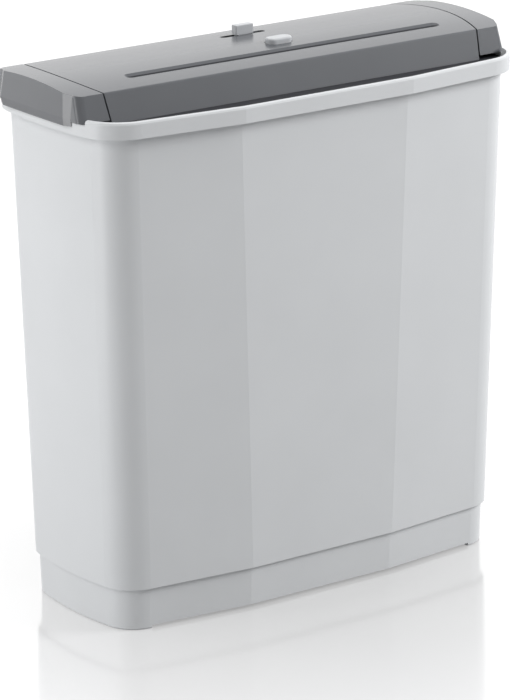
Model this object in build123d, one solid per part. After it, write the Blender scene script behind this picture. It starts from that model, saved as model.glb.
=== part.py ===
from build123d import *
import math
import os

# A strip-cut paper shredder: a motor head that sits in the rim of a tapered waste bin.
# Millimetres, +Z up. The origin is the middle of the bin's base, on the floor.
# X runs along the feed slot, the front is -Y, and the gear train is at the -X end.

# Waste bin
bin_height = 305.4
bin_side_room = 13.9
bin_front_room = 13.0
bin_side_taper = 6.9
bin_front_taper = 4.5
bin_top_facet = 118.8
bin_low_facet = 102.0
facet_turn = 5.75
end_bow = 6.1
bin_corner_radius = 22.0
bin_wall = 2.2
rim_overhang = 4.8
rim_round = 1.5
round_share = 0.3
plinth_height = 25.5
plinth_inset = 2.0
plinth_draft = 0.7
foot_height = 2.0
foot_length = 24.3
foot_chamfer = 0.8
notch_depth = 3.0
notch_margin = 1.6

# Head shell
head_seat = 0.3
head_side_reach = 3.9
head_front_inset = 7.5
head_back_inset = 1.6
front_corner_radius = 5.0
rear_corner_radius = 7.0
face_lean = 18.0
back_lean = 6.0
end_lean = 3.0
crown_height = 18.7
crown_radius = 264.0
crown_shift = 5.35
cover_drop = 2.3
shell_wall = 2.2
edge_round = 1.2
cap_length = 20.9
seam_bow = 7.5
seam_gap = 1.0
lip_length = 77.8
lip_shift = 1.45
lip_chamfer = 6.5
lip_drop = 2.7
lip_clearance = 0.4
lip_wall = 1.2
lip_lean = 1.0
lip_back_lean = 14.0
lip_bow = 0.4
lip_belly = 4.5
lip_tuck = 2.0
hook_width = 18.0
hook_thickness = 1.8
hook_spread = 130.0

# Feed slot and throat
slot_length = 222.0
slot_width = 5.0
slot_bevel = 1.0
slot_y = -18.5
throat_wall = 1.8

# Lower housing
gear_room = 2.1
sync_room = 3.3
comb_room = 0.2
motor_room = 4.6
tub_height = 60.9
tub_wall = 2.2
tub_corner_radius = 10.0
flange_thickness = 2.4
flange_gap = 1.0
ledge = 1.8
outfeed_width = 31.0
outfeed_round = 3.0

# Cutting block
strip_width = 7.2
disc_gap = 0.3
cutter_spacing = 23.0
disc_overlap = 2.0
core_radius = 6.5
journal_radius = 5.0
cutter_drop = 21.7
hook_count = 4
hook_depth = 1.6
plate_gap = 1.2
plate_thickness = 2.0
plate_margin = 5.0
bush_wall = 2.5
bush_flange = 1.6
bush_flange_thickness = 0.8
comb_thickness = 2.4
comb_height = 18.0
comb_gap = 0.7
finger_clearance = 0.5
rod_radius = 3.0
rod_neck = 2.0

# Gear train
sync_teeth = 20
sync_width = 7.0
final_module = 1.25
final_teeth = 32
second_pinion_teeth = 12
final_width = 6.5
second_module = 1.0
second_teeth = 36
first_pinion_teeth = 12
second_width = 5.0
first_module = 0.8
first_teeth = 40
motor_teeth = 10
first_width = 4.0
second_angle = 20.0
first_angle = -90.0
motor_angle = 62.0
addendum = 0.9
dedendum = 1.25
tooth_share = 0.40
gear_side_gap = 0.8
axle_radius = 2.5
gear_plate_thickness = 1.5
gear_plate_margin = 2.0
spacer_radius = 3.0
spacer_neck = 1.8
spacer_gap = 2.0
front_spacer_distance = 32.0
front_spacer_angle = 225.0
top_spacer_angle = 60.0
low_spacer_angle = -140.0
pressure_angle = 20.0

# Motor
motor_radius = 17.0
motor_length = 62.0
motor_cap_length = 8.0
motor_boss_radius = 6.0
motor_shaft_radius = 1.6
motor_chamfer = 1.5
cradle_thickness = 3.0

# Controls and electrics
knob_shift = 1.4
knob_y = 27.0
knob_length = 12.5
knob_depth = 5.0
knob_height = 5.6
knob_travel = 9.0
knob_stem = 4.4
button_shift = 5.8
button_y = -3.0
button_length = 17.0
button_width = 9.0
button_rise = 3.0
button_travel = 1.5
control_gap = 0.4
shelf_thickness = 1.6
switch_width = 6.4
switch_length = 19.8
switch_height = 10.0
lever_shift = -17.6
lever_reach = 9.0
lever_width = 3.6
lever_height = 7.4
lever_thickness = 2.2
lever_tail = 3.8
lever_swing = 25.0
ear_margin = 2.2
pin_radius = 1.0
plunger = 0.6
slide_height = 11.0
terminal_pitch = 6.0
terminal_width = 2.4
terminal_thickness = 0.6
terminal_length = 4.0
relay_length = 19.0
relay_width = 15.0
relay_height = 15.0
capacitor_radius = 6.0
capacitor_height = 20.0
board_x = 42.0
board_length = 100.0
board_depth = 30.0
board_thickness = 1.6
board_lift = 14.0
board_post_radius = 3.0
board_inset = 4.0
gland_inset = 28.6
gland_bore = 6.0
gland_wall = 1.1
gland_collar = 1.0

# Screws
screw_radius = 1.75
screw_head_radius = 3.2
screw_head = 2.2
screw_bite = 9.0
screw_depth = 6.0
screw_post_radius = 4.2
screw_side_inset = 7.5
screw_back_inset = 12.0
cap_screw_lift = 6.5
cap_screw_spread = 50.0

# Fits
running_fit = 0.05
press_fit = 0.02
small_gap = 0.3

# Places worked out from the sizes above
head_base = bin_height - notch_depth + head_seat
crown_top = head_base + crown_height
tub_floor = head_base - tub_height
floor_top = tub_floor + tub_wall
flange_top = head_base - cover_drop
flange_bottom = flange_top - flange_thickness
seat_z = flange_bottom - head_seat
collar_inset = bin_wall - rim_overhang
cutter_z = head_base - cutter_drop
front_y = slot_y - cutter_spacing / 2
rear_y = slot_y + cutter_spacing / 2
disc_radius = (cutter_spacing + disc_overlap) / 2
strip_count = math.ceil(slot_length / strip_width)
cut_width = strip_count * strip_width
gear_stack = first_width + second_width + final_width + 3 * gear_side_gap + gear_plate_thickness
plate_reach = plate_gap + plate_thickness + bush_flange_thickness + small_gap
left_room = plate_reach + gear_stack + gear_room
right_room = plate_reach + sync_width + sync_room
tub_width = left_room + cut_width + right_room + 2 * tub_wall
cut_left = tub_wall + left_room - tub_width / 2
cut_right = cut_left + cut_width
slot_x = (cut_left + cut_right) / 2
left_plate = cut_left - plate_gap
right_plate = cut_right + plate_gap
left_plate_outer = left_plate - plate_thickness
right_plate_outer = right_plate + plate_thickness
bush_radius = journal_radius + running_fit + bush_wall
first_plane = left_plate_outer - bush_flange_thickness - small_gap
second_plane = first_plane - first_width - gear_side_gap
final_plane = second_plane - second_width - gear_side_gap
gear_plate_x = final_plane - final_width - gear_side_gap


def polar(origin, distance, angle):
    """Point of the YZ plane at a distance and an angle from another one."""
    turn = math.radians(angle)
    return (origin[0] + distance * math.cos(turn), origin[1] + distance * math.sin(turn))


rear_axis = (rear_y, cutter_z)
front_axis = (front_y, cutter_z)
second_axis = polar(rear_axis, final_module * (final_teeth + second_pinion_teeth) / 2, second_angle)
first_axis = polar(second_axis, second_module * (second_teeth + first_pinion_teeth) / 2, first_angle)
motor_axis = polar(first_axis, first_module * (first_teeth + motor_teeth) / 2, motor_angle)
spacer_axes = (
    polar(rear_axis, front_spacer_distance, front_spacer_angle),
    polar(second_axis, second_module * second_teeth / 2 + spacer_radius + spacer_gap, top_spacer_angle),
    polar(first_axis, first_module * first_teeth / 2 + spacer_radius + spacer_gap, low_spacer_angle),
)
rod_z = cutter_z - comb_height - plate_gap - rod_radius
rod_axes = (
    (front_y - disc_radius + rod_radius, rod_z),
    (rear_y + disc_radius - rod_radius, rod_z),
    (rear_y + disc_radius + rod_radius, cutter_z + disc_radius + rod_radius),
)


# Outlines that follow from what the housing holds
tub_front = front_y - disc_radius - comb_gap - comb_thickness - comb_room - tub_wall
tub_back = motor_axis[0] + motor_radius + motor_room + tub_wall
bin_top_width = tub_width + 2 * bin_side_room
bin_top_depth = 2 * (max(-tub_front, tub_back) + bin_front_room)
bin_low_width = bin_top_width - 2 * bin_side_taper
bin_low_depth = bin_top_depth - 2 * bin_front_taper
head_base_width = bin_top_width + 2 * head_side_reach
head_front = tub_front + head_front_inset
head_back = tub_back - head_back_inset
head_half_depth = (head_back - head_front) / 2
head_offset = (head_front + head_back) / 2
crown_y = head_offset + crown_shift
seam_width = head_base_width - 2 * cap_length
bow_radius = (head_half_depth**2 + seam_bow**2) / (2 * seam_bow)

# Places of the smaller pieces
knob_x = slot_x + knob_shift
button_x = slot_x + button_shift
lever_x = slot_x + lever_shift
throat_back = slot_y + slot_width / 2 + throat_wall
throat_bottom = cutter_z + disc_radius - plate_gap
shelf_top = cutter_z + disc_radius + 2 * plate_gap + shelf_thickness
shelf_left = lever_x - switch_length / 2 - shelf_thickness
shelf_right = button_x + switch_length / 2 + shelf_thickness
switch_top = shelf_top + switch_height
lever_axis = (throat_back + 2 * ear_margin, shelf_top + lever_height)
start_switch_y = lever_axis[0] + lever_tail + 2 * small_gap + switch_width / 2
shelf_back = max(start_switch_y, button_y) + switch_width / 2
board_y = motor_axis[0]
board_bottom = floor_top + board_lift
board_top = board_bottom + board_thickness
board_posts = [
    (board_x + side_x * (board_length / 2 - board_inset), board_y + side_y * (board_depth / 2 - board_inset))
    for side_x in (-1, 1)
    for side_y in (-1, 1)
]
screw_xs = (screw_side_inset - tub_width / 2, tub_width / 2 - screw_side_inset)
screw_y = tub_back - screw_back_inset
screw_seat = head_base - screw_depth
cap_screw_z = head_base + cap_screw_lift
cap_screw_ys = (head_offset - cap_screw_spread / 2, head_offset + cap_screw_spread / 2)
gland_boss = gland_bore / 2 + 2 * gland_wall
gland_x = seam_width / 2 - gland_inset
gland_z = bin_height + gland_boss + small_gap
gland_outer = head_back
gland_rise = gland_z + gland_boss - head_base
gland_inner = gland_outer - gland_rise * math.tan(math.radians(back_lean)) - shell_wall


def along_x(x, axis):
    """Plane across the X axis whose own axes are Y and Z."""
    return Plane(origin=(x, axis[0], axis[1]), x_dir=(0, 1, 0), z_dir=(1, 0, 0))


def rod(x_from, x_to, axis, radius):
    """Round bar along X between two places."""
    return extrude(along_x(x_from, axis) * Circle(radius), x_to - x_from, dir=(1, 0, 0))


def block(x_range, y_range, z_range):
    """Box between two places on each axis."""
    size = [high - low for low, high in (x_range, y_range, z_range)]
    centre = [(low + high) / 2 for low, high in (x_range, y_range, z_range)]
    return Pos(*centre) * Box(*size)


def post(x, y, radius, z_range):
    """Upright round bar."""
    return Pos(x, y, z_range[0]) * extrude(Circle(radius), z_range[1] - z_range[0])


def bin_section(z, inset):
    """Plan of the bin at a height: three flat facets front and back, bowed ends, moved in by inset."""
    share = max(0.0, (z - plinth_height) / (bin_height - plinth_height))
    width = (bin_low_width + share * (bin_top_width - bin_low_width)) / 2 - inset
    depth = (bin_low_depth + share * (bin_top_depth - bin_low_depth)) / 2 - inset
    facet = (bin_low_facet + share * (bin_top_facet - bin_low_facet)) / 2
    facet = facet - inset * math.tan(math.radians(facet_turn / 2))
    corner_x = width - end_bow
    corner_y = depth - (corner_x - facet) * math.tan(math.radians(facet_turn))
    front = Polyline((-corner_x, -corner_y), (-facet, -depth), (facet, -depth), (corner_x, -corner_y))
    right = ThreePointArc((corner_x, -corner_y), (width, 0), (corner_x, corner_y))
    back = Polyline((corner_x, corner_y), (facet, depth), (-facet, depth), (-corner_x, corner_y))
    left = ThreePointArc((-corner_x, corner_y), (-width, 0), (-corner_x, -corner_y))
    plan = make_face(front + right + back + left)
    corners = plan.vertices().filter_by(lambda v: abs(v.X) > facet + 1)
    return Pos(0, 0, z) * fillet(corners, bin_corner_radius - inset)


def bin_loft(levels):
    """Straight-sided body through plans of the bin, each given as (height, inset)."""
    return loft([bin_section(z, inset) for z, inset in levels], ruled=True)


def head_section(z, inset):
    """Plan of the head shell at a height, moved in by inset."""
    rise = z - head_base
    width = head_base_width - 2 * (rise * math.tan(math.radians(end_lean)) + inset)
    front = head_front + rise * math.tan(math.radians(face_lean)) + inset
    back = head_back - rise * math.tan(math.radians(back_lean)) - inset
    plan = Pos(0, (front + back) / 2) * Rectangle(width, back - front)
    plan = fillet(plan.vertices().sort_by(Axis.Y)[:2], front_corner_radius - inset)
    plan = fillet(plan.vertices().sort_by(Axis.Y)[-2:], rear_corner_radius - inset)
    return Pos(0, 0, z) * plan


def crown(inset):
    """Shallow barrel whose top is the head's crowned top, moved in by inset."""
    axis = (crown_y, crown_top - crown_radius)
    return rod(-head_base_width, head_base_width, axis, crown_radius - inset)


def crown_z(y, inset):
    """Height of the crowned top over a place on Y."""
    return crown_top - crown_radius + math.sqrt((crown_radius - inset) ** 2 - (y - crown_y) ** 2)


throat_top = crown_z(slot_y - slot_width / 2 - throat_wall, shell_wall) - small_gap
knob_base = crown_z(knob_y - knob_depth / 2, 0) + control_gap
slide_top = crown_z(knob_y + knob_depth, shell_wall) - small_gap
stem_bottom = slide_top - slide_height / 2
button_top = crown_z(button_y, 0) + button_rise
shoulder_top = crown_z(button_y - button_width, shell_wall) - small_gap


def middle_region(gap):
    """Upright block between the two bowed seams, widened by gap at each end."""
    tip = seam_width / 2 + seam_bow + gap
    reach = head_half_depth + shell_wall
    edge = tip - bow_radius + math.sqrt(bow_radius**2 - reach**2)
    front = Line((-edge, -reach), (edge, -reach))
    right = ThreePointArc((edge, -reach), (tip, 0), (edge, reach))
    back = Line((edge, reach), (-edge, reach))
    left = ThreePointArc((-edge, reach), (-tip, 0), (-edge, -reach))
    plan = make_face(front + right + back + left)
    return Pos(0, head_offset, flange_bottom) * extrude(plan, 3 * crown_height)


def lip_section(side, z, reach, inset, tuck):
    """Plan of the lip on one end of the head: bowed outside, slanted ends, the rear one moved in by tuck."""
    front = lip_length / 2 - inset
    rear = front - tuck
    edge = reach - lip_bow
    root = (head_base_width - shell_wall) / 2
    inner = seam_width / 2 + seam_bow + shell_wall
    outline = Polyline((edge, rear - lip_chamfer), (root, rear), (inner, rear))
    outline += Polyline((inner, rear), (inner, -front), (root, -front), (edge, lip_chamfer - front))
    outline += ThreePointArc((edge, lip_chamfer - front), (reach, -tuck / 2), (edge, rear - lip_chamfer))
    plan = make_face(outline)
    if side < 0:
        plan = mirror(plan, Plane.YZ)
    return Pos(0, head_offset + lip_shift, z) * plan


def lip(side, inset):
    """Lip that hangs over the notched end of the rim, moved in by inset."""
    reach = bin_top_width / 2 + rim_overhang + lip_clearance + lip_wall - inset
    bottom = head_base - lip_drop
    belly = bottom + lip_belly
    top = crown_top + shell_wall
    top_reach = reach - (top - belly) * math.tan(math.radians(lip_lean))
    top_tuck = (top - belly) * math.tan(math.radians(lip_back_lean))
    if inset:
        levels = [(bottom - lip_belly, reach, 2 * lip_tuck)]
    else:
        levels = [(bottom, reach - lip_wall / 4, lip_tuck)]
    levels += [(belly, reach, 0), (top, top_reach, top_tuck)]
    return loft([lip_section(side, z, x, inset, tuck) for z, x, tuck in levels], ruled=True)


def stadium_prism(x, y, length, width, z_range):
    """Upright bar with round ends, long along X."""
    plan = Pos(x, y, z_range[0]) * SlotOverall(length, width)
    return extrude(plan, z_range[1] - z_range[0])


def make_bin():
    """Waste bin: tapered wall, collar that seats the head, stepped plinth and a foot under each end."""
    body = bin_loft([(plinth_height, 0), (bin_height, 0)])
    plinth = bin_loft([(foot_height, plinth_inset + plinth_draft), (plinth_height, plinth_inset)])
    rim = bin_loft(
        [
            (seat_z - bin_wall, -rim_overhang),
            (bin_height - rim_round, -rim_overhang),
            (bin_height - round_share * rim_round, round_share * rim_round - rim_overhang),
            (bin_height, rim_round - rim_overhang),
        ]
    )
    shell = rim + body + plinth
    ledge_top = plinth_height + bin_wall
    cavity_low = foot_height + bin_wall
    shell -= bin_loft([(cavity_low, plinth_inset + plinth_draft + bin_wall),
                       (ledge_top, plinth_inset + bin_wall)])
    shell -= bin_loft([(ledge_top, bin_wall), (bin_height, bin_wall)])
    shell -= bin_loft([(seat_z, collar_inset), (bin_height, collar_inset)])
    sole_inset = plinth_inset + plinth_draft
    sole = bin_loft([(0, sole_inset + foot_chamfer), (foot_chamfer, sole_inset), (foot_height, sole_inset)])
    foot_x = bin_low_width / 2 - foot_length
    for side in (-1, 1):
        span = sorted((side * foot_x, side * bin_low_width))
        shell += sole & block(span, (-bin_low_depth, bin_low_depth), (0, foot_height))
    notch_floor = bin_height - notch_depth
    for side in (-1, 1):
        near = side * (bin_top_width / 2 - end_bow - bin_corner_radius / 2)
        far = side * bin_top_width
        shell -= block(sorted((near, far)), (head_front - notch_margin, head_back + notch_margin),
                       (notch_floor, bin_height + notch_depth))
    return shell


def head_shell(inset, low):
    """Solid of the whole head above a height, moved in by inset."""
    body = loft([head_section(low, inset), head_section(crown_top + shell_wall, inset)], ruled=True)
    return body & crown(inset)


def make_cover():
    """Top cover between the seams, with the feed slot, the control openings and the cord boss."""
    outer = head_shell(0, flange_top) & middle_region(0)
    rims = outer.edges().filter_by(lambda e: e.center().Z > head_base + crown_height / 2)
    fronts = rims.filter_by(lambda e: abs(e.center().X) < seam_width / 4)
    outer = fillet(fronts, edge_round)
    cover = outer - (head_shell(shell_wall, flange_bottom) & middle_region(-shell_wall))
    slot_top = crown_z(slot_y, 0)
    cover -= stadium_prism(slot_x, slot_y, slot_length, slot_width, (head_base, crown_top + shell_wall))
    flare = [
        Pos(slot_x, slot_y, slot_top - slot_bevel) * SlotOverall(slot_length, slot_width),
        Pos(slot_x, slot_y, slot_top + slot_bevel)
        * SlotOverall(slot_length + 4 * slot_bevel, slot_width + 4 * slot_bevel),
    ]
    cover -= loft(flare)
    knob_slot = knob_length + 2 * knob_travel + 2 * control_gap
    cover -= stadium_prism(knob_x, knob_y, knob_slot, knob_stem + 2 * control_gap,
                           (head_base, crown_top + shell_wall))
    cover -= stadium_prism(button_x, button_y, button_length + 2 * control_gap,
                           button_width + 2 * control_gap, (head_base, crown_top + shell_wall))
    return cover


def make_cap(side):
    """End cap outside one seam, with the lip that hangs over the rim."""
    outside = head_shell(0, head_base) + (lip(side, 0) & crown(0))
    inside = head_shell(shell_wall, flange_bottom) + (lip(side, lip_wall) & crown(shell_wall))
    half = block(sorted((0, side * bin_top_width)), (-bin_top_depth, bin_top_depth), (0, 2 * bin_height))
    outer = (outside - middle_region(seam_gap)) & half
    inner = (inside - middle_region(seam_gap + shell_wall)) & half
    rim_block = bin_loft([(head_base - 3 * lip_drop, -rim_overhang - lip_clearance),
                          (head_base, -rim_overhang - lip_clearance)])
    return outer - inner - rim_block


def seam_x(y, gap):
    """Place of the bowed seam on X over a place on Y."""
    tip = seam_width / 2 + seam_bow + gap
    return tip - bow_radius + math.sqrt(bow_radius**2 - (y - head_offset) ** 2)


def tub_prism(inset, z_range):
    """Upright block with the plan of the lower housing, moved in by inset."""
    depth = tub_back - tub_front - 2 * inset
    plan = RectangleRounded(tub_width - 2 * inset, depth, tub_corner_radius - inset)
    return Pos(0, (tub_front + tub_back) / 2, z_range[0]) * extrude(plan, z_range[1] - z_range[0])


def make_lower_housing():
    """Tub under the cutters, with the flange that closes the bin, the outfeed and the inner posts."""
    edge = collar_inset + flange_gap
    flange = bin_loft([(flange_bottom, edge), (flange_top, edge)])
    opening = Pos(0, 0, flange_bottom - head_base) * head_section(head_base, shell_wall + ledge)
    inner_plan = tub_prism(tub_wall, (flange_bottom, flange_top))
    flange -= extrude(opening, flange_thickness, dir=(0, 0, 1)) & inner_plan
    tub = tub_prism(0, (tub_floor, flange_bottom)) - tub_prism(tub_wall, (floor_top, flange_bottom))
    outfeed = block((cut_left, cut_right),
                    (slot_y - outfeed_width / 2, slot_y + outfeed_width / 2),
                    (tub_floor - tub_wall, floor_top + tub_wall))
    tub -= fillet(outfeed.edges().filter_by(Axis.Z), outfeed_round)
    cradle_x = left_plate + motor_length - motor_cap_length
    cradle = block((cradle_x - cradle_thickness, cradle_x),
                   (motor_axis[0] - motor_radius, motor_axis[0] + motor_radius),
                   (floor_top, motor_axis[1] - motor_radius / 2))
    cradle -= rod(left_plate, 0, motor_axis, motor_radius + small_gap)
    housing = tub + flange + cradle
    for x, y in board_posts:
        housing += post(x, y, board_post_radius, (floor_top, board_bottom))
    for x in screw_xs:
        housing += post(x, screw_y, screw_post_radius, (floor_top, head_base))
        housing -= post(x, screw_y, screw_head_radius + small_gap, (tub_floor, screw_seat))
        housing -= post(x, screw_y, screw_radius + small_gap, (tub_floor, head_base))
    return housing


def make_throat():
    """Feed throat between the side plates, with the shelf and the ears of the auto-start lever."""
    half = slot_width / 2
    throat = block((left_plate, right_plate), (slot_y - half - throat_wall, throat_back),
                   (throat_bottom, throat_top))
    throat -= block((slot_x - slot_length / 2, slot_x + slot_length / 2), (slot_y - half, slot_y + half),
                    (throat_bottom, throat_top))
    throat += block((shelf_left, shelf_right), (throat_back, shelf_back),
                    (shelf_top - shelf_thickness, shelf_top))
    swing = lever_reach * math.sin(math.radians(lever_swing)) + lever_thickness
    throat -= block((lever_x - lever_width / 2 - small_gap, lever_x + lever_width / 2 + small_gap),
                    (slot_y, throat_back), (lever_axis[1] - swing, lever_axis[1] + lever_thickness))
    for side in (-1, 1):
        near = lever_x + side * (lever_width / 2 + small_gap)
        far = near + side * throat_wall
        ear = block(sorted((near, far)), (throat_back, lever_axis[0] + ear_margin),
                    (shelf_top, lever_axis[1] + ear_margin))
        throat += ear - rod(*sorted((near, far)), lever_axis, pin_radius + press_fit)
    return throat


def plate_blank(x, points):
    """Steel side plate of an outline in the YZ plane, with rounded corners."""
    outline = make_face(Polyline(*points, close=True))
    outline = fillet(outline.vertices(), plate_margin)
    return extrude(along_x(x, (0, 0)) * outline, plate_thickness, dir=(1, 0, 0))


def make_side_plates():
    """Left and right side plates with their bearing, rod, axle and motor holes."""
    plate_front = tub_front + tub_wall + small_gap
    neck = head_front + shell_wall + ledge + 2 * small_gap
    top = head_base - small_gap
    shoulder = cutter_z + plate_margin
    rise = cutter_z + disc_radius
    back = motor_axis[0] + motor_radius
    front_points = [(plate_front, floor_top), (plate_front, shoulder), (neck, rise), (neck, top)]
    spacer_top = spacer_axes[1][1] + 2 * spacer_radius
    left_points = front_points + [
        (rear_y + disc_radius + plate_margin, top),
        (spacer_axes[1][0] - 3 * spacer_radius, spacer_top),
        (spacer_axes[1][0] + 3 * spacer_radius, spacer_top),
        (back, top),
        (back, floor_top),
    ]
    right_back = rear_y + disc_radius + comb_gap + comb_thickness + 2 * rod_radius
    right_points = front_points + [(right_back, top), (right_back, floor_top)]
    left = plate_blank(left_plate_outer, left_points)
    right = plate_blank(right_plate, right_points)
    for axis in (front_axis, rear_axis):
        left -= rod(left_plate_outer, left_plate, axis, bush_radius + press_fit)
        right -= rod(right_plate, right_plate_outer, axis, bush_radius + press_fit)
    for axis in rod_axes:
        left -= rod(left_plate_outer, left_plate, axis, rod_neck + press_fit)
        right -= rod(right_plate, right_plate_outer, axis, rod_neck + press_fit)
    for axis in (first_axis, second_axis):
        left -= rod(left_plate_outer, left_plate, axis, axle_radius + press_fit)
    left -= rod(left_plate_outer, left_plate, motor_axis, motor_boss_radius + press_fit)
    for axis in spacer_axes:
        left -= rod(left_plate_outer, left_plate, axis, spacer_neck + press_fit)
    return left, right


def make_gear_plate():
    """Outer plate that carries the far ends of the gear axles."""
    spots = list(spacer_axes) + [first_axis, second_axis]
    pads = [Pos(*spot) * Circle(spacer_radius + gear_plate_margin) for spot in spots]
    outline = make_hull([edge for pad in pads for edge in pad.edges()])
    base = along_x(gear_plate_x - gear_plate_thickness, (0, 0))
    plate = extrude(base * outline, gear_plate_thickness, dir=(1, 0, 0))
    for axis in (first_axis, second_axis):
        plate -= rod(gear_plate_x - gear_plate_thickness, gear_plate_x, axis, axle_radius + press_fit)
    for axis in spacer_axes:
        plate -= rod(gear_plate_x - gear_plate_thickness, gear_plate_x, axis, spacer_neck + press_fit)
    return plate


def stepped_rod(x_from, x_to, axis, radius, neck, left_neck, right_neck):
    """Round bar with a thinner neck past each end."""
    bar = rod(x_from, x_to, axis, radius)
    bar += rod(x_from - left_neck, x_from, axis, neck)
    return bar + rod(x_to, x_to + right_neck, axis, neck)


def make_tie_rods():
    """Rods that hold the two side plates apart."""
    necks = (plate_thickness, plate_thickness)
    return [stepped_rod(left_plate, right_plate, axis, rod_radius, rod_neck, *necks) for axis in rod_axes]


def make_spacers():
    """Spacers between the left side plate and the gear plate."""
    return [stepped_rod(gear_plate_x, left_plate_outer, axis, spacer_radius, spacer_neck,
                        gear_plate_thickness, plate_thickness) for axis in spacer_axes]


def make_axles():
    """Fixed axles of the two reduction gears."""
    return [rod(gear_plate_x - gear_plate_thickness, left_plate, axis, axle_radius)
            for axis in (first_axis, second_axis)]


def make_bushes():
    """Flanged bushes of the two cutters, one in each side plate."""
    bushes = []
    for axis in (front_axis, rear_axis):
        for face, outward in ((left_plate_outer, -1), (right_plate_outer, 1)):
            bush = rod(*sorted((face, face - outward * plate_thickness)), axis, bush_radius)
            flange = rod(*sorted((face, face + outward * bush_flange_thickness)), axis,
                         bush_radius + bush_flange)
            bush = bush + flange
            bushes.append(bush - rod(2 * left_plate, 2 * right_plate, axis, journal_radius + running_fit))
    return bushes


def disc_outline():
    """Cutter disc with hooked notches round its edge."""
    disc = Circle(disc_radius)
    notch = make_face(Polyline((disc_radius - hook_depth, 0), (disc_radius + hook_depth, 0),
                               (disc_radius + hook_depth, 3 * hook_depth), close=True))
    for index in range(hook_count):
        disc -= Rot(0, 0, 360 * index / hook_count) * notch
    return disc


def make_cutter(axis, first, left_end, right_end, turn):
    """Cutter turned and milled from one bar: every second strip is a disc, the rest is the core."""
    cutter = rod(cut_left, cut_right, axis, core_radius)
    cutter += rod(left_end, cut_left, axis, journal_radius)
    cutter += rod(cut_right, right_end, axis, journal_radius)
    outline = Rot(0, 0, turn) * disc_outline()
    width = strip_width - disc_gap
    discs = []
    for index in range(first, strip_count, 2):
        x = cut_left + index * strip_width + disc_gap / 2
        discs.append(extrude(along_x(x, axis) * outline, width, dir=(1, 0, 0)))
    return cutter + discs


def make_comb(axis, first, side):
    """Stripper comb beside one cutter: a bar with a finger in each gap between its discs."""
    near = axis[0] + side * (disc_radius + comb_gap)
    far = near + side * comb_thickness
    low = axis[1] - comb_height
    comb = block((left_plate, right_plate), sorted((near, far)), (low - comb_thickness, axis[1]))
    tip = axis[0] - side * core_radius
    fingers = []
    for index in range(first, strip_count, 2):
        x = cut_left + index * strip_width
        fingers.append(block((x + finger_clearance, x + strip_width - finger_clearance),
                             sorted((near, tip)), (low, axis[1])))
    return comb + fingers - rod(left_plate, right_plate, axis, core_radius + finger_clearance)


def gear_outline(teeth, module, turn):
    """Spur gear outline with straight flanks; one tooth points at the given angle."""
    pitch_radius = teeth * module / 2
    tip = pitch_radius + addendum * module
    root = pitch_radius - dedendum * module
    pitch_half = tooth_share * math.pi * module / 2
    slope = math.tan(math.radians(pressure_angle))
    points = []
    for index in range(teeth):
        middle = math.radians(turn) + 2 * math.pi * index / teeth
        for radius, side in ((root, -1), (tip, -1), (tip, 1), (root, 1)):
            half = pitch_half - (radius - pitch_radius) * slope
            angle = middle + side * half / pitch_radius
            points.append((radius * math.cos(angle), radius * math.sin(angle)))
    return make_face(Polyline(*points, close=True))


def spur(x_from, x_to, axis, teeth, module, turn):
    """Spur gear along X between two places."""
    return extrude(along_x(x_from, axis) * gear_outline(teeth, module, turn), x_to - x_from, dir=(1, 0, 0))


def facing(turn, teeth):
    """Angle that puts a gap of the driven gear against a tooth that points along turn."""
    return turn + 180 + 180 / teeth


def make_sync_gears():
    """Equal gears that turn the two cutters against each other."""
    module = cutter_spacing / sync_teeth
    low = right_plate_outer + bush_flange_thickness + small_gap
    gears = []
    for axis, turn in ((rear_axis, 180), (front_axis, facing(180, sync_teeth))):
        gear = spur(low, low + sync_width, axis, sync_teeth, module, turn)
        gears.append(gear - rod(low, low + sync_width, axis, journal_radius + press_fit))
    return gears


def make_final_gear():
    """Last gear of the reduction, on the rear cutter."""
    gear = spur(final_plane - final_width, final_plane, rear_axis, final_teeth, final_module, second_angle)
    return gear - rod(final_plane - final_width, final_plane, rear_axis, journal_radius + press_fit)


def make_second_gear():
    """Compound gear that drives the last one."""
    wheel_end = second_plane - second_width
    gear = spur(wheel_end, second_plane, second_axis, second_teeth, second_module, first_angle)
    gear += spur(final_plane - final_width, wheel_end, second_axis, second_pinion_teeth,
                 final_module, facing(second_angle, second_pinion_teeth))
    return gear - rod(gear_plate_x, left_plate, second_axis, axle_radius + running_fit)


def make_first_gear():
    """Compound gear beside the motor."""
    gear = spur(first_plane - first_width, first_plane, first_axis, first_teeth, first_module, motor_angle)
    gear += spur(second_plane - second_width, first_plane - first_width, first_axis, first_pinion_teeth,
                 second_module, facing(first_angle, first_pinion_teeth))
    return gear - rod(gear_plate_x, left_plate, first_axis, axle_radius + running_fit)


def make_motor():
    """Motor can with its bearing boss, end cap, and shaft with the pinion cut on it."""
    back = left_plate + motor_length
    can = rod(left_plate, back, motor_axis, motor_radius)
    can = chamfer(can.edges().filter_by(GeomType.CIRCLE), motor_chamfer)
    can += rod(left_plate_outer, left_plate, motor_axis, motor_boss_radius)
    can -= rod(left_plate_outer, left_plate + motor_cap_length, motor_axis, motor_shaft_radius + running_fit)
    cap = rod(back, back + motor_cap_length, motor_axis, motor_radius - motor_chamfer)
    cap = chamfer(cap.faces().sort_by(Axis.X)[-1].edges(), motor_chamfer)
    cap += rod(back + motor_cap_length, back + motor_cap_length + plate_thickness, motor_axis,
               motor_boss_radius)
    shaft = rod(first_plane - first_width, left_plate + motor_cap_length - small_gap, motor_axis,
                motor_shaft_radius)
    shaft += spur(first_plane - first_width, first_plane, motor_axis, motor_teeth, first_module,
                  facing(motor_angle, motor_teeth))
    return can, cap, shaft


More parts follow.
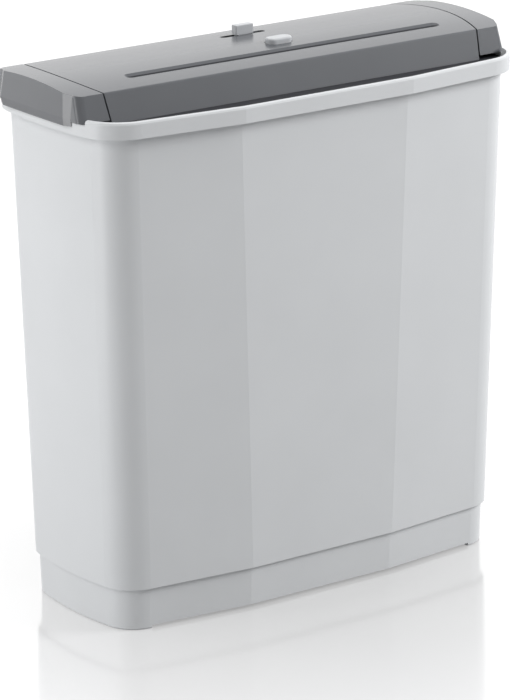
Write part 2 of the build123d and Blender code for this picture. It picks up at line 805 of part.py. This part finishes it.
def make_knob():
    """Slide switch knob with a stem through the cover."""
    grip = block((knob_x - knob_length / 2, knob_x + knob_length / 2),
                 (knob_y - knob_depth / 2, knob_y + knob_depth / 2), (knob_base, knob_base + knob_height))
    grip = fillet(grip.edges().filter_by(Axis.Z), edge_round / 2)
    grip = fillet(grip.faces().sort_by(Axis.Z)[-1].edges(), edge_round / 2)
    stem = block((knob_x - knob_stem, knob_x + knob_stem), (knob_y - knob_stem / 2, knob_y + knob_stem / 2),
                 (stem_bottom, knob_base))
    return grip + stem


def make_slide_switch():
    """Slide switch body under the knob, with a groove for the stem."""
    reach = knob_travel + knob_stem
    body = block((knob_x - reach - knob_depth, knob_x + reach + knob_depth),
                 (knob_y - knob_depth, knob_y + knob_depth), (slide_top - slide_height, slide_top))
    groove = block((knob_x - reach - control_gap, knob_x + reach + control_gap),
                   (knob_y - knob_stem / 2 - control_gap, knob_y + knob_stem / 2 + control_gap),
                   (stem_bottom - control_gap, slide_top))
    body -= groove
    for index in (-1, 0, 1):
        x = knob_x + index * terminal_pitch
        body += block((x - terminal_width / 2, x + terminal_width / 2),
                      (knob_y - terminal_thickness / 2, knob_y + terminal_thickness / 2),
                      (slide_top - slide_height - terminal_length, slide_top - slide_height))
    return body


def make_button():
    """Oval push button with the shoulder that holds it under the cover."""
    face = stadium_prism(button_x, button_y, button_length, button_width, (shoulder_top, button_top))
    face = fillet(face.faces().sort_by(Axis.Z)[-1].edges(), edge_round)
    rim = button_width / 3
    shoulder = stadium_prism(button_x, button_y, button_length + rim, button_width + rim,
                             (shoulder_top - throat_wall, shoulder_top))
    stem = stadium_prism(button_x, button_y, button_width, button_width / 2,
                         (switch_top + plunger + button_travel + small_gap, shoulder_top - throat_wall))
    return face + shoulder + stem


def make_microswitch(x, y):
    """Snap-action switch on the shelf, long along X, with its plunger and mounting holes."""
    body = block((x - switch_length / 2, x + switch_length / 2),
                 (y - switch_width / 2, y + switch_width / 2), (shelf_top, switch_top))
    body += block((x - plunger, x + plunger), (y - plunger, y + plunger), (switch_top, switch_top + plunger))
    for side in (-1, 1):
        hole = Pos(x + side * switch_length / 4, y, shelf_top + switch_height / 3) * Rot(90, 0, 0)
        body -= hole * Cylinder(pin_radius, 2 * switch_width)
    return body


def make_lever():
    """Auto-start lever: a finger across the throat, a hub on the pin and a short tail."""
    outline = Circle(2 * pin_radius + running_fit)
    outline += Pos(-lever_reach / 2, 0) * Rectangle(lever_reach, lever_thickness)
    outline += Pos(-lever_reach, 0) * Circle(lever_thickness / 2)
    outline += Pos(lever_tail / 2, 0) * Rectangle(lever_tail, lever_thickness)
    outline -= Circle(pin_radius + running_fit)
    return extrude(along_x(lever_x - lever_width / 2, lever_axis) * outline, lever_width, dir=(1, 0, 0))


def make_lever_pin():
    """Pin of the auto-start lever, held in the ears of the throat."""
    reach = lever_width / 2 + small_gap + throat_wall
    return rod(lever_x - reach, lever_x + reach, lever_axis, pin_radius)


def make_board():
    """Circuit board on the posts of the lower housing."""
    board = block((board_x - board_length / 2, board_x + board_length / 2),
                  (board_y - board_depth / 2, board_y + board_depth / 2), (board_bottom, board_top))
    for x, y in board_posts:
        board -= post(x, y, pin_radius, (board_bottom, board_top))
    return board


def make_board_parts():
    """Relay, capacitor and terminal block that stand on the circuit board."""
    relay = block((board_x - relay_length / 2, board_x + relay_length / 2),
                  (board_y - relay_width / 2, board_y + relay_width / 2),
                  (board_top, board_top + relay_height))
    relay = fillet(relay.edges().filter_by(Axis.Z), edge_round)
    can = post(board_x - board_length / 3, board_y, capacitor_radius,
               (board_top, board_top + capacitor_height))
    can = fillet(can.faces().sort_by(Axis.Z)[-1].edges(), edge_round)
    row = board_x + board_length / 3
    terminals = block((row - relay_length / 2, row + relay_length / 2), (board_y - relay_width / 3,
                      board_y + relay_width / 3), (board_top, board_top + terminal_length * 2))
    for index in (-1, 0, 1):
        well = terminals.center().Z
        terminals -= post(row + index * terminal_pitch, board_y, terminal_width / 2,
                          (well, well + relay_height))
    return relay, can, terminals


def make_gland():
    """Cord gland in the back of the cover: a flanged sleeve with the bore for the cord."""
    neck = gland_bore / 2 + gland_wall
    sleeve = along_gland(gland_inner - gland_collar, gland_outer + gland_collar, neck)
    sleeve += along_gland(gland_outer, gland_outer + gland_collar, neck + gland_collar)
    sleeve += along_gland(gland_inner - gland_collar, gland_inner, neck + gland_collar)
    return sleeve - along_gland(gland_inner - gland_collar, gland_outer + gland_collar, gland_bore / 2)


def along_gland(y_from, y_to, radius):
    """Round bar along Y on the gland's axis."""
    plane = Plane(origin=(gland_x, y_from, gland_z), x_dir=(1, 0, 0), z_dir=(0, 1, 0))
    return extrude(plane * Circle(radius), y_to - y_from, dir=(0, 1, 0))


def make_cover_screws():
    """Screws that hold the cover down from under the lower housing."""
    screws = []
    for x in screw_xs:
        screw = post(x, screw_y, screw_head_radius, (screw_seat - screw_head, screw_seat))
        screws.append(screw + post(x, screw_y, screw_radius, (screw_seat, head_base + screw_bite)))
    return screws


def make_cap_screws():
    """Screws that hold the end caps to the end walls of the cover, from inside."""
    screws = []
    for side in (-1, 1):
        for y in cap_screw_ys:
            edge = y + math.copysign(screw_head_radius, y - head_offset)
            seat = seam_x(edge, 0) - shell_wall - small_gap
            axis = (y, cap_screw_z)
            screw = rod(*sorted((side * seat, side * (seat - screw_head))), axis, screw_head_radius)
            tip = seat + 2 * shell_wall + seam_gap + screw_bite / 2
            screws.append(screw + rod(*sorted((side * seat, side * tip)), axis, screw_radius))
    return screws


def drill_cap_screws(solid, gap):
    """Holes for the end cap screws."""
    for y in cap_screw_ys:
        solid -= rod(-bin_top_width / 2, bin_top_width / 2, (y, cap_screw_z), screw_radius + gap)
    return solid


def finish_cover(cover):
    """Cover with its screw posts, front hooks, cord boss and holes."""
    inside = head_shell(shell_wall / 2, head_base) & middle_region(-shell_wall / 2)
    for x in screw_xs:
        cover += post(x, screw_y, screw_post_radius, (head_base, crown_top)) & inside
        cover -= post(x, screw_y, screw_radius + press_fit, (head_base, head_base + screw_bite + small_gap))
    cover += along_gland(gland_inner, gland_outer, gland_boss)
    cover -= along_gland(gland_inner, gland_outer, gland_bore / 2 + gland_wall + press_fit)
    wall_in = head_front + shell_wall + ledge
    for x in (slot_x - hook_spread / 2, slot_x + hook_spread / 2):
        span = (x - hook_width / 2, x + hook_width / 2)
        arm = block(span, (wall_in + small_gap - 2 * ledge, wall_in + small_gap + hook_thickness),
                    (head_base + small_gap, head_base + 2 * hook_thickness)) & inside
        arm += block(span, (wall_in + small_gap, wall_in + small_gap + hook_thickness),
                     (flange_bottom - small_gap - hook_thickness, head_base + hook_thickness))
        arm += block(span, (wall_in - hook_thickness, wall_in + small_gap + hook_thickness),
                     (flange_bottom - small_gap - hook_thickness, flange_bottom - small_gap))
        cover += arm
    return drill_cap_screws(cover, small_gap)


motor_can, motor_end_cap, motor_pinion = make_motor()
left_side_plate, right_side_plate = make_side_plates()
rear_sync_gear, front_sync_gear = make_sync_gears()
relay, capacitor, terminal_block = make_board_parts()
gear_end = right_plate_outer + bush_flange_thickness + small_gap + sync_width

parts = {
    "waste_bin": make_bin(),
    "top_cover": finish_cover(make_cover()),
    "left_end_cap": drill_cap_screws(make_cap(-1), press_fit),
    "right_end_cap": drill_cap_screws(make_cap(1), press_fit),
    "lower_housing": make_lower_housing(),
    "feed_throat": make_throat(),
    "left_side_plate": left_side_plate,
    "right_side_plate": right_side_plate,
    "gear_plate": make_gear_plate(),
    "gear_plate_spacers": Compound(make_spacers()),
    "tie_rods": Compound(make_tie_rods()),
    "shaft_bushes": Compound(make_bushes()),
    "gear_axles": Compound(make_axles()),
    "front_cutter": make_cutter(front_axis, 0, left_plate_outer - bush_flange_thickness, gear_end, 0),
    "rear_cutter": make_cutter(rear_axis, 1, final_plane - final_width, gear_end, 180 / hook_count),
    "front_stripper_comb": make_comb(front_axis, 1, -1),
    "rear_stripper_comb": make_comb(rear_axis, 0, 1),
    "front_sync_gear": front_sync_gear,
    "rear_sync_gear": rear_sync_gear,
    "final_gear": make_final_gear(),
    "second_gear": make_second_gear(),
    "first_gear": make_first_gear(),
    "motor_can": motor_can,
    "motor_end_cap": motor_end_cap,
    "motor_pinion": motor_pinion,
    "switch_knob": make_knob(),
    "slide_switch": make_slide_switch(),
    "push_button": make_button(),
    "button_microswitch": make_microswitch(button_x, button_y),
    "start_microswitch": make_microswitch(lever_x, start_switch_y),
    "feed_lever": make_lever(),
    "lever_pin": make_lever_pin(),
    "circuit_board": make_board(),
    "board_relay": relay,
    "board_capacitor": capacitor,
    "board_terminals": terminal_block,
    "cord_gland": make_gland(),
    "cover_screws": Compound(make_cover_screws()),
    "cap_screws": Compound(make_cap_screws()),
}

os.makedirs("parts", exist_ok=True)
for name, solid in parts.items():
    export_step(solid, os.path.join("parts", name + ".step"))
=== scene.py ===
import math

import bpy
from mathutils import Matrix, Vector

# Looks of a paper shredder head on its waste bin, in metres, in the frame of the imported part.

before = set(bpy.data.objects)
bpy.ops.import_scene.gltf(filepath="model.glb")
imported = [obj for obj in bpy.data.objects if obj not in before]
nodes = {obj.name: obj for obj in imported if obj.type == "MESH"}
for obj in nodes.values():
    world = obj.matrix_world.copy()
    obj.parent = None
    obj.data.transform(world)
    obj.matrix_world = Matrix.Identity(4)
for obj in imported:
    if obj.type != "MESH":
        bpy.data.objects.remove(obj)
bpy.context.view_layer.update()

MILLIMETRE = 0.001
WHITE = (1.0, 1.0, 1.0, 1.0)

# Camera of the photograph: place and aim, lens and sensor in mm, roll in degrees, and how far it sees
CAMERA_PLACE = Vector((-1.34538, -1.88030, 0.84239))
CAMERA_AIM = Vector((-0.00929, -0.00560, 0.13750))
CAMERA_LENS = 208.9
CAMERA_SENSOR = 36.0
CAMERA_ROLL = -0.535
CAMERA_REACH = 50.0

# Part of a noise's range over which the deep shade turns to the pale one
CLOUD_EDGES = (0.3, 0.7)

# Plastic: refraction, detail of its clouds and grain, and how far the gloss wanders with the grain
PLASTIC_IOR = 1.49
PLASTIC_CLOUD_DETAIL = 3.0
PLASTIC_GRAIN_DETAIL = 2.0
PLASTIC_GLOSS_SPREAD = 0.02

# Metal: detail of its clouds and tool marks, how far the gloss wanders with the marks, and their depth
METAL_CLOUD_DETAIL = 4.0
METAL_MARK_DETAIL = 3.0
METAL_GLOSS_SPREAD = 0.08
METAL_MARK_DEPTH_MM = 0.002

# Stretch of the tool marks: a small number draws them out along that axis
LINES_ALONG_X = (0.05, 1.0, 1.0)
LINES_ALONG_Z = (1.0, 1.0, 0.05)
RINGS_ROUND_X = (1.0, 0.05, 0.05)
EVEN_GRAIN = (1.0, 1.0, 1.0)

# Floor: side, gloss, haze, and its glow, which grows between two distances from the middle; the weaker glow
# near the bin is painted shade
FLOOR_SIZE = 12.0
FLOOR_ROUGHNESS = 0.12
FLOOR_IOR = 2.2
FLOOR_HAZE_MM = 250
FLOOR_HAZE_DETAIL = 2.0
GLOW_AND_PAINTED_SHADE_DISTANCES = (0.08, 0.34)
GLOW_AND_PAINTED_SHADE_STRENGTHS = (0.34, 0.60)

# World: strength of the light on the object, and of what the camera, mirrors and glass see
SOFT_LIGHT = 0.30
BACKGROUND_LIGHT = 1.0


def linear(code):
    """Linear colour of an sRGB hex code such as "8a8c90"."""
    colour = []
    for start in (0, 2, 4):
        value = int(code[start:start + 2], 16) / 255
        colour.append(value / 12.92 if value <= 0.04045 else ((value + 0.055) / 1.055) ** 2.4)
    return (*colour, 1.0)


def add(tree, kind, inputs=None, **settings):
    """Adds a shader node with its settings, and fills or links its inputs by name or number."""
    node = tree.nodes.new("ShaderNode" + kind)
    for name, value in settings.items():
        setattr(node, name, value)
    for name, value in (inputs or {}).items():
        if isinstance(value, bpy.types.NodeSocket):
            tree.links.new(value, node.inputs[name])
        else:
            node.inputs[name].default_value = value
    return node


def start_material(name):
    """Empty material with its shader, its output and the piece's own coordinates."""
    material = bpy.data.materials.new(name)
    material.use_nodes = True
    tree = material.node_tree
    tree.nodes.clear()
    shader = add(tree, "BsdfPrincipled")
    add(tree, "OutputMaterial", {"Surface": shader.outputs["BSDF"]})
    place = add(tree, "TexCoord").outputs["Object"]
    return material, tree, shader, place


def cloud_colour(tree, shader, place, pale, deep, size_mm, detail):
    """Colour that wanders between two shades in clouds of the given size."""
    scale = 1 / MILLIMETRE / size_mm
    cloud = add(tree, "TexNoise", {"Vector": place, "Scale": scale, "Detail": detail})
    shade = add(tree, "ValToRGB", {"Fac": cloud.outputs["Fac"]})
    for stop, position, code in zip(shade.color_ramp.elements, CLOUD_EDGES, (deep, pale)):
        stop.position = position
        stop.color = linear(code)
    tree.links.new(shade.outputs["Color"], shader.inputs["Base Color"])


def mark_surface(tree, shader, marks, roughness, spread, depth_mm):
    """Gloss and relief that follow the marks which the making left."""
    gloss = add(tree, "MapRange", {"Value": marks, "To Min": roughness - spread,
                                   "To Max": roughness + spread})
    tree.links.new(gloss.outputs["Result"], shader.inputs["Roughness"])
    bump = add(tree, "Bump", {"Height": marks, "Strength": 1.0, "Distance": depth_mm * MILLIMETRE})
    tree.links.new(bump.outputs["Normal"], shader.inputs["Normal"])


def moulded_plastic(name, pale, deep, roughness, grain_mm, depth_mm, cloud_mm):
    """Moulded plastic: an even colour with faint clouds, and the fine grain of an eroded mould."""
    material, tree, shader, place = start_material(name)
    cloud_colour(tree, shader, place, pale, deep, cloud_mm, PLASTIC_CLOUD_DETAIL)
    scale = 1 / MILLIMETRE / grain_mm
    grain = add(tree, "TexNoise", {"Vector": place, "Scale": scale, "Detail": PLASTIC_GRAIN_DETAIL})
    mark_surface(tree, shader, grain.outputs["Fac"], roughness, PLASTIC_GLOSS_SPREAD, depth_mm)
    shader.inputs["IOR"].default_value = PLASTIC_IOR
    return material


def worked_metal(name, pale, deep, roughness, mark_mm, stretch, cloud_mm):
    """Metal with what its making leaves: fine lines along an axis, rings round one, or an even grain."""
    material, tree, shader, place = start_material(name)
    cloud_colour(tree, shader, place, pale, deep, cloud_mm, METAL_CLOUD_DETAIL)
    drawn_out = add(tree, "Mapping", {"Vector": place, "Scale": stretch}).outputs["Vector"]
    scale = 1 / MILLIMETRE / mark_mm
    marks = add(tree, "TexNoise", {"Vector": drawn_out, "Scale": scale, "Detail": METAL_MARK_DETAIL})
    mark_surface(tree, shader, marks.outputs["Fac"], roughness, METAL_GLOSS_SPREAD, METAL_MARK_DEPTH_MM)
    shader.inputs["Metallic"].default_value = 1.0
    return material


# Mould grain is about 0.3 mm or finer, a board's weave about 0.5 mm, and tool marks and pores are under
# 0.1 mm. All are drawn coarser below, because the picture couldn't show them at their real size.

# Polypropylene, moulded against an eroded tool: a soft pale grey with a fine even grain.
bin_polypropylene = moulded_plastic("polypropylene_moulded_pale_grey", "d3d5d7", "d0d2d4",
                                    roughness=0.42, grain_mm=0.9, depth_mm=0.008, cloud_mm=60)
# ABS, moulded with a satin grain: a mid grey that turns pale where it mirrors the light at a low angle.
head_abs = moulded_plastic("abs_moulded_satin_grey", "5a5c60", "57595d",
                           roughness=0.26, grain_mm=0.8, depth_mm=0.002, cloud_mm=45)
# The same plastic in a lighter grey, a little duller, for what the fingers work.
control_abs = moulded_plastic("abs_moulded_light_grey", "b8babd", "b3b5b8",
                              roughness=0.33, grain_mm=0.6, depth_mm=0.004, cloud_mm=20)
# Glass-filled nylon, moulded black: dull, with the fibres' faint mottling.
black_nylon = moulded_plastic("nylon_glass_filled_black", "1d1d1f", "151516",
                              roughness=0.55, grain_mm=0.7, depth_mm=0.010, cloud_mm=8)
# ABS, moulded dark for the inside: a plain charcoal with little gloss.
housing_abs = moulded_plastic("abs_moulded_charcoal", "25262a", "202125",
                              roughness=0.50, grain_mm=0.8, depth_mm=0.010, cloud_mm=40)
# Acetal, moulded in its natural colour: milky, waxy and smooth.
natural_acetal = moulded_plastic("acetal_moulded_natural", "e6e1d6", "ddd7ca",
                                 roughness=0.38, grain_mm=0.5, depth_mm=0.004, cloud_mm=12)
# PBT switch bodies: black, crisp and slightly shiny.
switch_pbt = moulded_plastic("pbt_moulded_black", "232325", "1b1b1c",
                             roughness=0.42, grain_mm=0.5, depth_mm=0.004, cloud_mm=10)
# Solder mask over glass laminate: a shiny green with the weave's faint mottling.
board_mask = moulded_plastic("laminate_solder_mask_green", "24603a", "1c5230",
                             roughness=0.28, grain_mm=0.6, depth_mm=0.006, cloud_mm=4)
# PVC sleeve shrunk on a capacitor: a glossy dark blue.
capacitor_pvc = moulded_plastic("pvc_sleeve_dark_blue", "22305c", "1b284f",
                                roughness=0.20, grain_mm=1.5, depth_mm=0.010, cloud_mm=9)
# Nylon terminal block: a dull green.
terminal_nylon = moulded_plastic("nylon_moulded_green", "2f7a4a", "286e41",
                                 roughness=0.45, grain_mm=0.5, depth_mm=0.005, cloud_mm=8)
# EPDM rubber: black, soft and nearly without gloss.
gland_rubber = moulded_plastic("epdm_rubber_black", "1a1a1a", "131313",
                               roughness=0.72, grain_mm=0.6, depth_mm=0.014, cloud_mm=6)
# Zinc-plated sheet: a cool grey with the lines of rolling along Z.
plate_steel = worked_metal("steel_sheet_zinc_plated", "c4c6c8", "b2b4b7",
                           roughness=0.34, mark_mm=0.5, stretch=LINES_ALONG_Z, cloud_mm=14)
# Turned bar: bright, with the rings of the tool round X.
turned_steel = worked_metal("steel_bar_turned", "c8c8c9", "b5b5b7",
                            roughness=0.28, mark_mm=0.4, stretch=RINGS_ROUND_X, cloud_mm=10)
# Hardened cutter steel, milled: darker, with fine rings round X.
cutter_steel = worked_metal("steel_milled_hardened", "a9a9ab", "929295",
                            roughness=0.30, mark_mm=0.4, stretch=RINGS_ROUND_X, cloud_mm=9)
# Sintered steel: grey and even, with pores for a grain.
sintered_steel = worked_metal("steel_sintered", "939395", "808083",
                              roughness=0.48, mark_mm=0.3, stretch=EVEN_GRAIN, cloud_mm=6)
# Sintered bronze bushes: brown gold, slightly oily.
sintered_bronze = worked_metal("bronze_sintered", "b58a55", "9d7443",
                               roughness=0.40, mark_mm=0.3, stretch=EVEN_GRAIN, cloud_mm=5)
# Drawn steel can with zinc plating: smooth, with lines along X.
motor_steel = worked_metal("steel_can_drawn", "bfc1c4", "aeb0b4",
                           roughness=0.26, mark_mm=0.5, stretch=LINES_ALONG_X, cloud_mm=16)
# Cut brass: yellow and bright.
pinion_brass = worked_metal("brass_cut", "d9b765", "c7a352",
                            roughness=0.25, mark_mm=0.3, stretch=RINGS_ROUND_X, cloud_mm=6)

finishes = {
    "waste_bin": bin_polypropylene,
    "top_cover": head_abs,
    "left_end_cap": head_abs,
    "right_end_cap": head_abs,
    "lower_housing": housing_abs,
    "feed_throat": housing_abs,
    "left_side_plate": plate_steel,
    "right_side_plate": plate_steel,
    "gear_plate": plate_steel,
    "gear_plate_spacers": turned_steel,
    "tie_rods": turned_steel,
    "gear_axles": turned_steel,
    "lever_pin": turned_steel,
    "cover_screws": turned_steel,
    "cap_screws": turned_steel,
    "shaft_bushes": sintered_bronze,
    "front_cutter": cutter_steel,
    "rear_cutter": cutter_steel,
    "front_stripper_comb": black_nylon,
    "rear_stripper_comb": black_nylon,
    "feed_lever": black_nylon,
    "motor_end_cap": black_nylon,
    "front_sync_gear": sintered_steel,
    "rear_sync_gear": sintered_steel,
    "final_gear": sintered_steel,
    "second_gear": natural_acetal,
    "first_gear": natural_acetal,
    "motor_can": motor_steel,
    "motor_pinion": pinion_brass,
    "switch_knob": control_abs,
    "push_button": control_abs,
    "slide_switch": switch_pbt,
    "button_microswitch": switch_pbt,
    "start_microswitch": switch_pbt,
    "board_relay": switch_pbt,
    "circuit_board": board_mask,
    "board_capacitor": capacitor_pvc,
    "board_terminals": terminal_nylon,
    "cord_gland": gland_rubber,
}
for name, node in nodes.items():
    node.data.materials.clear()
    node.data.materials.append(finishes[name])


def background_rays(tree):
    """One for the rays that show the background: those of the camera, of mirrors and of glass."""
    path = add(tree, "LightPath").outputs
    seen = add(tree, "Math", {0: path["Is Camera Ray"], 1: path["Is Glossy Ray"]}, operation="MAXIMUM")
    seen = add(tree, "Math", {0: seen.outputs["Value"], 1: path["Is Transmission Ray"]}, operation="MAXIMUM")
    return seen.outputs["Value"]


def make_floor():
    """White acrylic floor: it takes the shadow and a mirror image, and reads white to the camera.

    Its grey is darker than white because the glow is added to it for the rays that show the background.
    The glow grows away from the bin, so that shadow and mirror image stay near it; its weaker glow near the
    bin also paints shade on the floor round the bin's base. The refraction is above that of acrylic, so that
    the mirror image is as strong as in the photograph.
    """
    bpy.ops.object.select_all(action="DESELECT")
    bpy.ops.mesh.primitive_plane_add(size=FLOOR_SIZE, location=(0, 0, 0))
    floor = bpy.context.object
    floor.name = "studio_floor"
    material, tree, shader, place = start_material("acrylic_sheet_white")
    cloud_colour(tree, shader, place, "8a8a8a", "848485", FLOOR_HAZE_MM, FLOOR_HAZE_DETAIL)
    shader.inputs["Roughness"].default_value = FLOOR_ROUGHNESS
    shader.inputs["IOR"].default_value = FLOOR_IOR
    distance = add(tree, "VectorMath", {0: place}, operation="LENGTH").outputs["Value"]
    # Weaker glow near the bin: painted shade on the floor round its base
    near, far = GLOW_AND_PAINTED_SHADE_DISTANCES
    weak, strong = GLOW_AND_PAINTED_SHADE_STRENGTHS
    glow = add(tree, "MapRange", {"Value": distance, "From Min": near, "From Max": far,
                                  "To Min": weak, "To Max": strong}).outputs["Result"]
    lift = add(tree, "Math", {0: background_rays(tree), 1: glow}, operation="MULTIPLY").outputs["Value"]
    shader.inputs["Emission Color"].default_value = WHITE
    tree.links.new(lift, shader.inputs["Emission Strength"])
    floor.data.materials.append(material)


def make_world():
    """White for the rays that show the background, and a soft light from all round for the rest."""
    world = bpy.data.worlds.new("studio")
    bpy.context.scene.world = world
    world.use_nodes = True
    tree = world.node_tree
    tree.nodes.clear()
    soft = add(tree, "Background", {"Color": WHITE, "Strength": SOFT_LIGHT})
    bright = add(tree, "Background", {"Color": WHITE, "Strength": BACKGROUND_LIGHT})
    mixed = add(tree, "MixShader", {0: background_rays(tree), 1: soft.outputs["Background"],
                                    2: bright.outputs["Background"]})
    add(tree, "OutputWorld", {"Surface": mixed.outputs["Shader"]})


def soft_box(name, place, aim, width, height, watts, mirrored=True):
    """Rectangular studio lamp turned to a point. One that isn't mirrored leaves no image in the gloss."""
    lamp = bpy.data.lights.new(name, "AREA")
    lamp.shape = "RECTANGLE"
    lamp.size = width
    lamp.size_y = height
    lamp.energy = watts
    holder = bpy.data.objects.new(name, lamp)
    bpy.context.scene.collection.objects.link(holder)
    holder.location = place
    holder.visible_glossy = mirrored
    holder.rotation_mode = "QUATERNION"
    holder.rotation_quaternion = (Vector(aim) - Vector(place)).to_track_quat("-Z", "Y")


def make_camera():
    """Camera at the photograph's place, with its slight roll."""
    lens = bpy.data.cameras.new("photo_camera")
    lens.lens = CAMERA_LENS
    lens.sensor_width = CAMERA_SENSOR
    lens.clip_end = CAMERA_REACH
    camera = bpy.data.objects.new("photo_camera", lens)
    bpy.context.scene.collection.objects.link(camera)
    turn = (CAMERA_AIM - CAMERA_PLACE).to_track_quat("-Z", "Y").to_matrix()
    turn = turn @ Matrix.Rotation(math.radians(CAMERA_ROLL), 3, "Z")
    camera.matrix_world = Matrix.Translation(CAMERA_PLACE) @ turn.to_4x4()
    bpy.context.scene.camera = camera


make_floor()
make_world()
# Near and low on the left, for the bin's left end and the sheen on the left cap's lip
soft_box("left_soft_box", place=(-0.80, 0.03, 0.19), aim=(-0.15, -0.045, 0.22),
         width=0.20, height=0.36, watts=1.6)
# High on the left, for the upper part of that end and the left sides of knob and button
soft_box("high_left_soft_box", place=(-2.0, 0.1, 1.7), aim=(-0.15, 0.0, 0.25),
         width=1.2, height=1.2, watts=15.0)
# Behind on the left, where the side of the left cap mirrors it
soft_box("rear_left_soft_box", place=(-1.03, 1.21, 0.60), aim=(-0.15, 0.0, 0.30),
         width=0.8, height=1.2, watts=4.6)
# The main light, on the bin's front. Its image would turn the head's top white from behind, so it has none.
soft_box("right_soft_box", place=(1.84, -1.21, 1.45), aim=(0.0, 0.0, 0.30),
         width=0.9, height=1.3, watts=60.0, mirrored=False)
# A weak strip, whose sheen makes the head's front lighter to the right
soft_box("front_strip_box", place=(1.53, -1.63, 1.24), aim=(0.0, -0.05, 0.31),
         width=0.22, height=0.55, watts=2.6)
# Overhead, for the tops and the floor
soft_box("top_soft_box", place=(0.0, 0.3, 2.4), aim=(0.0, 0.0, 0.2),
         width=2.0, height=2.0, watts=16.0)
# Two wide lamps behind, which the head's crowned top mirrors: the low one is weaker and shows at its rear
soft_box("back_soft_box", place=(1.5, 2.1, 1.45), aim=(0.0, 0.0, 1.45),
         width=3.4, height=1.3, watts=9.4)
soft_box("low_back_soft_box", place=(1.5, 2.1, 0.40), aim=(0.0, 0.0, 0.40),
         width=3.4, height=0.8, watts=1.8)
make_camera()
bpy.context.scene.view_settings.view_transform = "Standard"
